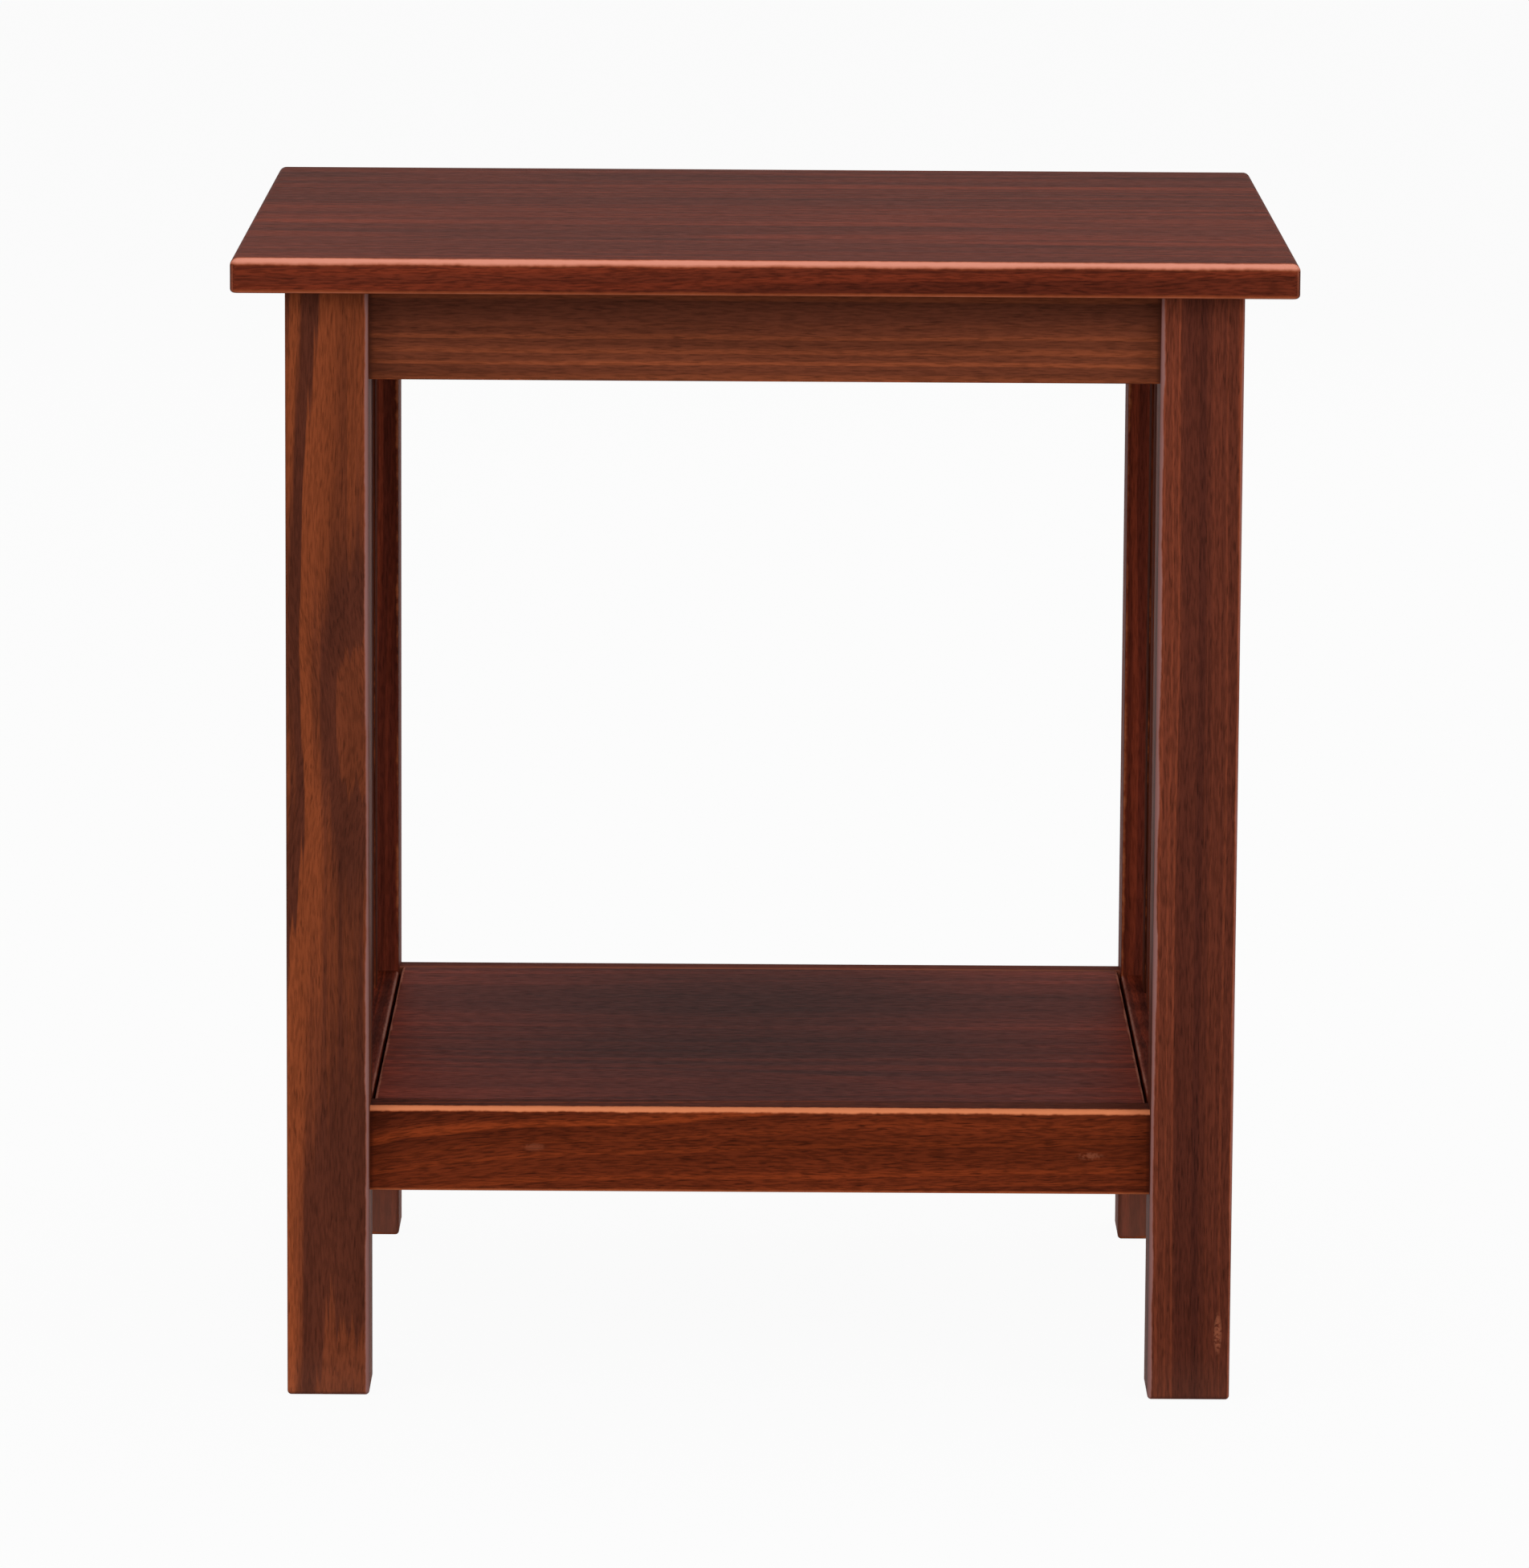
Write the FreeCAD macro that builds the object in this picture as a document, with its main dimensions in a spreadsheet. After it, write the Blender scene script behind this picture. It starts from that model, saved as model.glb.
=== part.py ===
"""End table with slatted sides, a low shelf and a boarded top, as separate pieces of wood.

Frame: millimetres, +Z up, origin on the floor under the middle of the top. The front faces -Y and
the table's left side is at -X. Legs and side rails are one square stock. The aprons, shelf rails
and slats are thinner boards set in the middle of that stock. Dowels join the frame, stub tenons
hold the slats, and screws through four cleats hold the top and the shelf.
"""
import FreeCAD, Part
import Sketcher
import os
import re

# Driving sizes in millimetres, and the number of slats in each side.
SIZES = {
    # the top
    "table_height": 560.0,
    "top_width": 510.0,
    "top_depth": 457.0,
    "top_thickness": 17.0,
    "top_edge_radius": 4.0,
    "top_lower_radius": 2.0,
    "side_overhang": 25.0,
    "end_overhang": 24.0,
    # square stock: legs, and side rails flush with them
    "leg_width": 40.0,
    "leg_depth": 40.0,
    "stock_arris": 2.0,
    # boards between the legs
    "apron_height": 45.0,
    "apron_thickness": 18.0,
    "shelf_height": 142.0,
    "lower_rail_height": 42.0,
    "shelf_rail_thickness": 18.0,
    "rail_top_radius": 3.0,
    "board_arris": 1.0,
    # side slats
    "slat_count": 6,
    "slat_width": 28.0,
    "slat_thickness": 20.0,
    "slat_arris": 1.5,
    "slat_shoulder": 4.0,
    "tenon_length": 8.0,
    # the shelf and its cleats
    "shelf_thickness": 16.0,
    "shelf_side_gap": 1.5,
    "shelf_end_gap": 0.3,
    "shelf_arris": 1.5,
    "shelf_cleat_width": 16.0,
    "shelf_cleat_height": 16.0,
    "shelf_cleat_inset": 8.0,
    # cleats that hold the top down
    "top_cleat_width": 18.0,
    "top_cleat_height": 18.0,
    "top_cleat_inset": 20.0,
    # dowels
    "dowel_diameter": 8.0,
    "dowel_length": 30.0,
    "board_dowel_edge": 10.0,
    "stock_dowel_spacing": 20.0,
    "seam_dowel_inset": 75.0,
    # wood screws
    "screw_diameter": 4.0,
    "screw_head_diameter": 8.0,
    "screw_head_height": 2.2,
    "screw_grip": 11.0,
    "screw_end_margin": 26.0,
    # clearances
    "joint_gap": 0.1,
    "blind_gap": 0.5,
}
TOP_BOARDS = ("front", "middle", "rear")
SIDES = {"left": -1, "right": 1}
ENDS = {"front": -1, "rear": 1}

# Places worked out from the driving sizes, as expression text.
LEG_X = "(top_width / 2 - side_overhang - leg_width / 2)"
LEG_Y = "(top_depth / 2 - end_overhang - leg_depth / 2)"
INNER_X = f"({LEG_X} - leg_width / 2)"
INNER_Y = f"({LEG_Y} - leg_depth / 2)"
UNDER_TOP = "(table_height - top_thickness)"
APRON_BOTTOM = f"({UNDER_TOP} - apron_height)"
APRON_INNER_Y = f"({LEG_Y} - apron_thickness / 2)"
RAIL_BOTTOM = "(shelf_height - lower_rail_height)"
SHELF_HALF_X = f"({INNER_X} - shelf_side_gap)"
SHELF_HALF_Y = f"({LEG_Y} - shelf_rail_thickness / 2 - shelf_end_gap)"
UNDER_SHELF = "(shelf_height - shelf_thickness)"
SLAT_LENGTH = f"({APRON_BOTTOM} - shelf_height)"
SLAT_GAP = f"(({INNER_Y} * 2 - slat_count * slat_width) / (slat_count + 1))"
SHELF_CLEAT_X = f"({INNER_X} - shelf_cleat_width / 2)"
SHELF_CLEAT_HALF = f"({INNER_Y} - shelf_cleat_inset)"
SHELF_CLEAT_BOTTOM = f"({UNDER_SHELF} - shelf_cleat_height)"
TOP_CLEAT_Y = f"({APRON_INNER_Y} - top_cleat_width / 2)"
TOP_CLEAT_HALF = f"({INNER_X} - top_cleat_inset)"
TOP_CLEAT_BOTTOM = f"({UNDER_TOP} - top_cleat_height)"

X_AXIS = FreeCAD.Vector(1, 0, 0)
Y_AXIS = FreeCAD.Vector(0, 1, 0)
TURNS = {
    "+x": FreeCAD.Rotation(Y_AXIS, 90),
    "-x": FreeCAD.Rotation(Y_AXIS, -90),
    "+y": FreeCAD.Rotation(X_AXIS, -90),
    "-y": FreeCAD.Rotation(X_AXIS, 90),
    "+z": FreeCAD.Rotation(),
}
UPRIGHT_EDGES = [("-x", "-y"), ("+x", "-y"), ("-x", "+y"), ("+x", "+y")]
TOUCH = 0.001
FIRST_HALF = 9.0  # half of a square sketch before its own sizes are tied to it
SIZE_NAME = re.compile(r"\b(" + "|".join(SIZES) + r")\b")

doc = FreeCAD.newDocument("end_table")
pieces = []


def make_sheet():
    """The sheet of driving sizes, one row each."""
    sheet = doc.addObject("Spreadsheet::Sheet", "Sizes")
    for row, (name, value) in enumerate(SIZES.items(), start=1):
        sheet.set(f"A{row}", name)
        sheet.set(f"B{row}", str(value))
        sheet.setAlias(f"B{row}", name)
    doc.recompute()


def bind(item, path, text):
    """Tie one property to an expression written in the sheet's size names."""
    item.setExpression(path, SIZE_NAME.sub(r"Sizes.\1", text))


def place(item, x, y, z):
    """Tie an object's place to three expressions."""
    bind(item, "Placement.Base.x", x)
    bind(item, "Placement.Base.y", y)
    bind(item, "Placement.Base.z", z)


def keep(item, label):
    """Count an object as a named piece of the table."""
    item.Label = label
    pieces.append(item)


def compound(name, members):
    """Several separate solids held as one object."""
    group = doc.addObject("Part::Compound", name)
    group.Links = members
    return group


# Boards


def rectangle(body, width, depth, lift):
    """A sketched rectangle about the body's own Z axis, lifted along it."""
    sketch = body.newObject("Sketcher::SketchObject", body.Name + "_outline")
    plane = next(part for part in body.Origin.OriginFeatures if part.Role == "XY_Plane")
    sketch.AttachmentSupport = [(plane, "")]
    sketch.MapMode = "FlatFace"
    bind(sketch, "AttachmentOffset.Base.z", lift)
    turns = ((-1, -1), (1, -1), (1, 1), (-1, 1))
    corners = [FreeCAD.Vector(x * FIRST_HALF, y * FIRST_HALF, 0) for x, y in turns]
    for start, end in zip(corners, corners[1:] + corners[:1]):
        sketch.addGeometry(Part.LineSegment(start, end))
    for side, way in enumerate(("Horizontal", "Vertical", "Horizontal", "Vertical")):
        sketch.addConstraint(Sketcher.Constraint("Coincident", side, 2, (side + 1) % 4, 1))
        sketch.addConstraint(Sketcher.Constraint(way, side))
    sketch.addConstraint(Sketcher.Constraint("Symmetric", 0, 1, 2, 1, -1, 1))
    across = sketch.addConstraint(Sketcher.Constraint("DistanceX", 0, 1, 0, 2, 2 * FIRST_HALF))
    along = sketch.addConstraint(Sketcher.Constraint("DistanceY", 1, 1, 1, 2, 2 * FIRST_HALF))
    bind(sketch, f"Constraints[{across}]", width)
    bind(sketch, f"Constraints[{along}]", depth)
    return sketch


def pad(body, size, lift="0"):
    """A sawn block of the given width, depth and height, added to a body."""
    width, depth, height = size
    block = body.newObject("PartDesign::Pad", body.Name + "_block")
    block.Profile = rectangle(body, width, depth, lift)
    bind(block, "Length", height)
    doc.recompute()


def edges_on(shape, sides):
    """Names of the edges that lie on all the named sides of a shape's bounding box."""
    whole = shape.BoundBox
    tests = {
        "-x": lambda box: box.XMax - whole.XMin,
        "+x": lambda box: whole.XMax - box.XMin,
        "-y": lambda box: box.YMax - whole.YMin,
        "+y": lambda box: whole.YMax - box.YMin,
        "-z": lambda box: box.ZMax - whole.ZMin,
        "+z": lambda box: whole.ZMax - box.ZMin,
    }
    return [
        f"Edge{number}"
        for number, edge in enumerate(shape.Edges, start=1)
        if all(tests[side](edge.BoundBox) < TOUCH for side in sides)
    ]


def round_edges(body, radius, wanted, left_out=()):
    """Round the edges on the wanted sides of a body, apart from those left out."""
    base = body.Tip
    names = {name for sides in wanted for name in edges_on(base.Shape, sides)}
    names -= {name for sides in left_out for name in edges_on(base.Shape, sides)}
    fillet = body.newObject("PartDesign::Fillet", body.Name + "_round")
    fillet.Base = (base, sorted(names))
    bind(fillet, "Radius", radius)
    doc.recompute()


def board(label, size, x, y, bottom):
    """A plain board whose own origin is the middle of its lower face."""
    body = doc.addObject("PartDesign::Body", label + "_board")
    pad(body, size)
    place(body, x, y, bottom)
    return body


def cut(label, body, tools):
    """Drill or mortise a board, and count it as a piece."""
    worked = doc.addObject("Part::Cut", label + "_worked")
    worked.Base = body
    worked.Tool = tools[0] if len(tools) == 1 else compound(label + "_cutters", tools)
    keep(worked, label)


# Dowels and screws


def rod(name, axis, middle, radius, length):
    """A cylinder along an axis, about its middle."""
    cylinder = doc.addObject("Part::Cylinder", name)
    cylinder.Placement = FreeCAD.Placement(FreeCAD.Vector(), TURNS[axis])
    bind(cylinder, "Radius", radius)
    bind(cylinder, "Height", length)
    start = list(middle)
    along = "xyz".index(axis[1])
    start[along] = f"{middle[along]} - ({length}) / 2"
    place(cylinder, *start)
    return cylinder


def dowels(label, axis, middles):
    """A set of dowels, counted as one piece; returns the holes they sit in."""
    pins = []
    holes = []
    for number, middle in enumerate(middles, start=1):
        pins.append(rod(f"{label}_{number}", axis, middle, "dowel_diameter / 2", "dowel_length"))
        holes.append(rod(f"{label}_hole_{number}", axis, middle, "dowel_diameter / 2 + joint_gap",
                         "dowel_length + 2 * blind_gap"))
    keep(compound(label + "_set", pins), label)
    return compound(label + "_holes", holes)


def countersunk(name, way, start, reach, spread):
    """A countersunk shank from its head's flat face, a little larger where it is a hole."""
    head = doc.addObject("Part::Cone", name + "_head")
    bind(head, "Radius1", f"screw_head_diameter / 2 + {spread}")
    bind(head, "Radius2", f"screw_diameter / 2 + {spread}")
    bind(head, "Height", "screw_head_height")
    shank = doc.addObject("Part::Cylinder", name + "_shank")
    bind(shank, "Radius", f"screw_diameter / 2 + {spread}")
    bind(shank, "Height", f"{reach} - screw_head_height")
    bind(shank, "Placement.Base.z", "screw_head_height")
    whole = doc.addObject("Part::Fuse", name)
    whole.Base = head
    whole.Tool = shank
    whole.Placement = FreeCAD.Placement(FreeCAD.Vector(), TURNS[way])
    place(whole, *start)
    return whole


def screws(label, spots, through):
    """A set of screws through a cleat, counted as one piece; returns the holes they sit in."""
    made = []
    holes = []
    reach = f"{through} + screw_grip"
    bored = f"{reach} + blind_gap"
    for number, (way, start) in enumerate(spots, start=1):
        made.append(countersunk(f"{label}_{number}", way, start, reach, "0"))
        holes.append(countersunk(f"{label}_hole_{number}", way, start, bored, "joint_gap"))
    keep(compound(label + "_set", made), label)
    return compound(label + "_holes", holes)


# Sets of dowels and screws, made first because two pieces share each set of holes


def board_end_dowels(label, end, bottom, height):
    """Two dowels, one above the other, in each end of a board between two legs."""
    middle_height = f"{bottom} + {height} / 2"
    rise = f"({height} / 2 - board_dowel_edge)"
    middles = [
        (f"{side} * {INNER_X}", f"{end} * {LEG_Y}", f"{middle_height} + {row} * {rise}")
        for side in SIDES.values()
        for row in (-1, 1)
    ]
    return dowels(label, "+x", middles)


def stock_end_dowels(label, side, bottom, height):
    """Two dowels, side by side, in each end of a side rail."""
    middle_height = f"{bottom} + {height} / 2"
    middles = [
        (f"{side} * {LEG_X} + {row} * stock_dowel_spacing / 2", f"{end} * {INNER_Y}", middle_height)
        for end in ENDS.values()
        for row in (-1, 1)
    ]
    return dowels(label, "+y", middles)


def seam_dowels(label, half_width, seams, middle_height):
    """Three dowels across each seam of an edge-glued panel."""
    middles = [
        (f"{row} * ({half_width} - seam_dowel_inset)", seam, middle_height)
        for seam in seams
        for row in (-1, 0, 1)
    ]
    return dowels(label, "+y", middles)


def frame_dowels():
    """Holes of every frame joint, by the name of the rail or apron they belong to."""
    holes = {}
    for name, end in ENDS.items():
        for rail, bottom, height in ((f"apron_{name}", APRON_BOTTOM, "apron_height"),
                                     (f"shelf_rail_{name}", RAIL_BOTTOM, "lower_rail_height")):
            holes[rail] = board_end_dowels(rail + "_dowels", end, bottom, height)
    for name, side in SIDES.items():
        for rail, bottom, height in ((f"upper_side_rail_{name}", APRON_BOTTOM, "apron_height"),
                                     (f"lower_side_rail_{name}", RAIL_BOTTOM, "lower_rail_height")):
            holes[rail] = stock_end_dowels(rail + "_dowels", side, bottom, height)
    return holes


def cleat_screws():
    """Holes of the four sets of screws through the cleats."""
    top_spread = f"({TOP_CLEAT_HALF} - screw_end_margin)"
    shelf_spread = f"({SHELF_CLEAT_HALF} - screw_end_margin)"
    up_to_top = [("+z", (f"{row} * {top_spread}", f"{end} * {TOP_CLEAT_Y}", TOP_CLEAT_BOTTOM))
                 for end in ENDS.values() for row in (-1, 0, 1)]
    into_apron = [("-y" if end < 0 else "+y",
                   (f"{row} * {top_spread} / 2", f"{end} * ({APRON_INNER_Y} - top_cleat_width)",
                    f"{UNDER_TOP} - top_cleat_height / 2"))
                  for end in ENDS.values() for row in (-1, 1)]
    up_to_shelf = [("+z",
                    (f"{side} * {SHELF_CLEAT_X}", f"{row} * {shelf_spread} / 2", SHELF_CLEAT_BOTTOM))
                   for side in SIDES.values() for row in (-1, 1)]
    into_rail = [("-x" if side < 0 else "+x",
                  (f"{side} * ({INNER_X} - shelf_cleat_width)", f"{row} * {shelf_spread}",
                   f"{UNDER_SHELF} - shelf_cleat_height / 2"))
                 for side in SIDES.values() for row in (-1, 0, 1)]
    return {
        "top": screws("top_screws", up_to_top, "top_cleat_height"),
        "apron": screws("apron_screws", into_apron, "top_cleat_width"),
        "shelf": screws("shelf_screws", up_to_shelf, "shelf_cleat_height"),
        "rail": screws("side_rail_screws", into_rail, "shelf_cleat_width"),
    }


# The pieces of wood


def make_top(screw_holes):
    """Three boards glued edge to edge, rounded along the outside of the finished top."""
    depth = f"(top_depth / {len(TOP_BOARDS)})"
    middle_height = f"{UNDER_TOP} + top_thickness / 2"
    seams = seam_dowels("top_dowels", "top_width / 2", [f"-{depth} / 2", f"{depth} / 2"], middle_height)
    outer = {
        "front": [("-x", "-y"), ("+x", "-y"), ("+z", "-y")],
        "middle": [],
        "rear": [("-x", "+y"), ("+x", "+y"), ("+z", "+y")],
    }
    glued = {"front": ["+y"], "middle": ["-y", "+y"], "rear": ["-y"]}
    size = ("top_width", depth, "top_thickness")
    for row, name in enumerate(TOP_BOARDS, start=-1):
        body = board(f"top_board_{name}", size, "0", f"{row} * {depth}", UNDER_TOP)
        round_edges(body, "top_edge_radius", outer[name] + [("+z", "-x"), ("+z", "+x")])
        round_edges(body, "top_lower_radius", [("-z",)], [("-z", side) for side in glued[name]])
        tools = [seams] if name == "middle" else [seams, screw_holes]
        cut(f"top_board_{name}", body, tools)


def make_legs(holes):
    """Four posts, each with its own hand of dowel holes."""
    size = ("leg_width", "leg_depth", UNDER_TOP)
    for end_name, end in ENDS.items():
        for side_name, side in SIDES.items():
            label = f"leg_{end_name}_{side_name}"
            body = board(label, size, f"{side} * {LEG_X}", f"{end} * {LEG_Y}", "0")
            round_edges(body, "stock_arris", UPRIGHT_EDGES + [("-z",)])
            rails = (f"apron_{end_name}", f"shelf_rail_{end_name}",
                     f"upper_side_rail_{side_name}", f"lower_side_rail_{side_name}")
            cut(label, body, [holes[rail] for rail in rails])


def make_aprons(holes, screw_holes):
    """The boards under the front and rear of the top."""
    for name, end in ENDS.items():
        label = f"apron_{name}"
        size = (f"2 * {INNER_X}", "apron_thickness", "apron_height")
        body = board(label, size, "0", f"{end} * {LEG_Y}", APRON_BOTTOM)
        round_edges(body, "board_arris", [("-z", "-y"), ("-z", "+y")])
        cut(label, body, [holes[label], screw_holes])


def make_shelf_rails(holes):
    """The boards in front of the shelf and behind it, with a well rounded outer top edge."""
    for name, end in ENDS.items():
        label = f"shelf_rail_{name}"
        size = (f"2 * {INNER_X}", "shelf_rail_thickness", "lower_rail_height")
        body = board(label, size, "0", f"{end} * {LEG_Y}", RAIL_BOTTOM)
        round_edges(body, "rail_top_radius", [("+z", "-y" if end < 0 else "+y")])
        round_edges(body, "board_arris", [("-z", "-y"), ("-z", "+y")])
        cut(label, body, [holes[label]])


def slat_middle(row):
    """Place along Y of a slat, counted from the front."""
    return f"({SLAT_GAP} * {row + 1} + slat_width * ({row} + 0.5) - {INNER_Y})"


def make_slats():
    """The upright slats of both sides, each with a stub tenon at both ends."""
    for name, side in SIDES.items():
        for row in range(int(SIZES["slat_count"])):
            label = f"slat_{name}_{row + 1}"
            body = doc.addObject("PartDesign::Body", label)
            pad(body, ("slat_thickness - 2 * slat_shoulder", "slat_width - 2 * slat_shoulder",
                       f"{SLAT_LENGTH} + 2 * tenon_length"))
            pad(body, ("slat_thickness", "slat_width", SLAT_LENGTH), "tenon_length")
            round_edges(body, "slat_arris", UPRIGHT_EDGES)
            place(body, f"{side} * {LEG_X}", slat_middle(row), "shelf_height - tenon_length")
            keep(body, label)


def mortises(name, side):
    """Blocks that cut the mortises for a side's slats in both its rails."""
    blocks = []
    for row in range(int(SIZES["slat_count"])):
        block = doc.addObject("Part::Box", f"mortise_{name}_{row + 1}")
        width = "(slat_thickness - 2 * slat_shoulder + 2 * joint_gap)"
        depth = "(slat_width - 2 * slat_shoulder + 2 * joint_gap)"
        bind(block, "Length", width)
        bind(block, "Width", depth)
        bind(block, "Height", f"{SLAT_LENGTH} + 2 * (tenon_length + blind_gap)")
        place(block, f"{side} * {LEG_X} - {width} / 2", f"{slat_middle(row)} - {depth} / 2",
              "shelf_height - tenon_length - blind_gap")
        blocks.append(block)
    return compound(f"mortises_{name}", blocks)


def make_side_rails(holes, screw_holes):
    """The upper and lower rail of each side, flush with the legs, mortised for the slats."""
    for name, side in SIDES.items():
        slots = mortises(name, side)
        for level, bottom, height in (("upper", APRON_BOTTOM, "apron_height"),
                                      ("lower", RAIL_BOTTOM, "lower_rail_height")):
            label = f"{level}_side_rail_{name}"
            size = ("leg_width", f"2 * {INNER_Y}", height)
            body = board(label, size, f"{side} * {LEG_X}", "0", bottom)
            edges = [("-z", "-x"), ("-z", "+x")]
            tools = [holes[label], slots]
            if level == "lower":
                edges += [("+z", "-x"), ("+z", "+x")]
                tools.append(screw_holes)
            round_edges(body, "stock_arris", edges)
            cut(label, body, tools)


def make_shelf(screw_holes):
    """Two boards glued edge to edge, lying inside the frame of rails."""
    seams = seam_dowels("shelf_dowels", SHELF_HALF_X, ["0"], f"{UNDER_SHELF} + shelf_thickness / 2")
    for name, end in ENDS.items():
        label = f"shelf_board_{name}"
        size = (f"2 * {SHELF_HALF_X}", SHELF_HALF_Y, "shelf_thickness")
        body = board(label, size, "0", f"{end} * {SHELF_HALF_Y} / 2", UNDER_SHELF)
        round_edges(body, "shelf_arris", [("+z", "-x"), ("+z", "+x")])
        cut(label, body, [seams, screw_holes])


def make_cleats(holes):
    """Strips under the shelf's ends, and behind the aprons under the top."""
    for name, side in SIDES.items():
        label = f"shelf_cleat_{name}"
        size = ("shelf_cleat_width", f"2 * {SHELF_CLEAT_HALF}", "shelf_cleat_height")
        body = board(label, size, f"{side} * {SHELF_CLEAT_X}", "0", SHELF_CLEAT_BOTTOM)
        cut(label, body, [compound(f"{label}_holes", [holes["shelf"], holes["rail"]])])
    for name, end in ENDS.items():
        label = f"top_cleat_{name}"
        size = (f"2 * {TOP_CLEAT_HALF}", "top_cleat_width", "top_cleat_height")
        body = board(label, size, "0", f"{end} * {TOP_CLEAT_Y}", TOP_CLEAT_BOTTOM)
        cut(label, body, [compound(f"{label}_holes", [holes["top"], holes["apron"]])])


def check():
    """Stop if any object failed or any piece is not sound."""
    failed = [item.Name for item in doc.Objects if "Invalid" in item.State or "Error" in item.State]
    if failed:
        raise RuntimeError(f"failed objects: {failed}")
    for piece in pieces:
        if piece.Shape.isNull() or not piece.Shape.isValid():
            raise RuntimeError(f"unsound piece: {piece.Label}")


def write():
    """One file for each piece."""
    os.makedirs("parts", exist_ok=True)
    for piece in pieces:
        piece.Shape.exportStep(f"parts/{piece.Label}.step")
        print(piece.Label, len(piece.Shape.Solids), round(piece.Shape.Volume))
    print(len(pieces), "pieces")


make_sheet()
frame_holes = frame_dowels()
screw_holes = cleat_screws()
make_top(screw_holes["top"])
make_legs(frame_holes)
make_aprons(frame_holes, screw_holes["apron"])
make_shelf_rails(frame_holes)
make_side_rails(frame_holes, screw_holes["rail"])
make_slats()
make_shelf(screw_holes["shelf"])
make_cleats(screw_holes)
doc.recompute()
check()
write()
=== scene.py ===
# %% [markdown]
# # An end table with a low shelf, in worn dark-stained pine
# The table is a frame of square posts with a boarded top, a low boarded shelf and slatted sides.
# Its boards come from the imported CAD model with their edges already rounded, so they stay as they are.
# What makes the real one look real is its wood: each board was sawn from its own place in a log, stained
# a dark red-brown, varnished to a satin gloss, and then rubbed through to pale wood along its edges.

import math
import random

import bmesh
import bpy
from mathutils import Matrix, Vector


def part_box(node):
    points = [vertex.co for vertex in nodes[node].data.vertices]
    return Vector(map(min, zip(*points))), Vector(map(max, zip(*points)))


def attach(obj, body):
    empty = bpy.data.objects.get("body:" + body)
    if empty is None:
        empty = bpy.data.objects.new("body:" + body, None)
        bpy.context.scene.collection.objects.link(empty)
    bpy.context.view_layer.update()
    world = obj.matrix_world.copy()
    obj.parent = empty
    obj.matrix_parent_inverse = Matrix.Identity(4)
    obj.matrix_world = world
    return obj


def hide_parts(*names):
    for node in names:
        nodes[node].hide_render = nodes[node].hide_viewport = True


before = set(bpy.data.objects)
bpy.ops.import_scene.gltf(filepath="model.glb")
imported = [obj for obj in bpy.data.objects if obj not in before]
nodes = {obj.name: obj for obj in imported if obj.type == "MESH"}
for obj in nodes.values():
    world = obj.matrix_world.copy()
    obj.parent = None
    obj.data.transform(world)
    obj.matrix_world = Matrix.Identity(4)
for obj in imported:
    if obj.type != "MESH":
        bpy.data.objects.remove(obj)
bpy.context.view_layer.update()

# %% [markdown]
# The photograph was taken from straight in front, through a long lens from well back, a little above the
# top. The camera's place, its lens and its three turns were worked out from the corners of the table, so
# the render can be laid over the photograph. The lens is given in pixels of the photograph, because that
# is how it was measured, and the sensor's long side turns it into millimetres.

# %% The camera
PHOTO_WIDTH, PHOTO_HEIGHT = 1904, 1953
LENS_PIXELS = 11274.5
SENSOR = 36.0
CAMERA_PLACE = (-0.0057, -4.5190, 1.0165)
CAMERA_TURN, CAMERA_DIP, CAMERA_ROLL = -0.0016, 0.1637, 0.0062

scene = bpy.context.scene
camera = bpy.data.objects.new("camera", bpy.data.cameras.new("camera"))
scene.collection.objects.link(camera)
camera.data.sensor_width = SENSOR
camera.data.lens = SENSOR * LENS_PIXELS / max(PHOTO_WIDTH, PHOTO_HEIGHT)
camera.matrix_world = (
    Matrix.Translation(CAMERA_PLACE)
    @ Matrix.Rotation(CAMERA_TURN, 4, "Z")
    @ Matrix.Rotation(math.pi / 2 - CAMERA_DIP, 4, "X")
    @ Matrix.Rotation(CAMERA_ROLL, 4, "Z")
)
scene.camera = camera
scene.view_settings.view_transform = "Standard"
print("lens", round(camera.data.lens, 1), "mm")

# %% [markdown]
# A shader network is easier to read as arithmetic than as boxes and wires. These small helpers each add one
# node and give back its output, so a formula can be written from the inside out. A value may be a plain
# number or the output of another node.

# %% Helpers that add one shader node each
SOCKETS = {"value": "NodeSocketFloat", "vector": "NodeSocketVector", "colour": "NodeSocketColor"}
MIX_SHARE, MIX_FIRST, MIX_SECOND, MIX_RESULT = 0, 6, 7, 2  # where a Mix node keeps its colours


def feed(tree, value, socket):
    """Wire an output into a socket, or set the socket to a plain value."""
    if isinstance(value, bpy.types.NodeSocket):
        tree.links.new(value, socket)
    else:
        socket.default_value = value


def maths(tree, operation, *values, clamp=False):
    """One sum on numbers."""
    node = tree.nodes.new("ShaderNodeMath")
    node.operation = operation
    node.use_clamp = clamp
    for value, socket in zip(values, node.inputs):
        feed(tree, value, socket)
    return node.outputs[0]


def vectors(tree, operation, *values):
    """One sum on vectors."""
    node = tree.nodes.new("ShaderNodeVectorMath")
    node.operation = operation
    for value, socket in zip(values, node.inputs):
        feed(tree, value, socket)
    return node.outputs["Vector"]


def split(tree, vector):
    """The three numbers of a vector."""
    node = tree.nodes.new("ShaderNodeSeparateXYZ")
    feed(tree, vector, node.inputs[0])
    return node.outputs


def smooth(tree, value, start, end, low=0.0, high=1.0):
    """A number that goes smoothly from low to high while a value goes from start to end."""
    node = tree.nodes.new("ShaderNodeMapRange")
    node.interpolation_type = "SMOOTHSTEP"
    for entry, socket in zip((value, start, end, low, high), node.inputs):
        feed(tree, entry, socket)
    return node.outputs[0]


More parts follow.
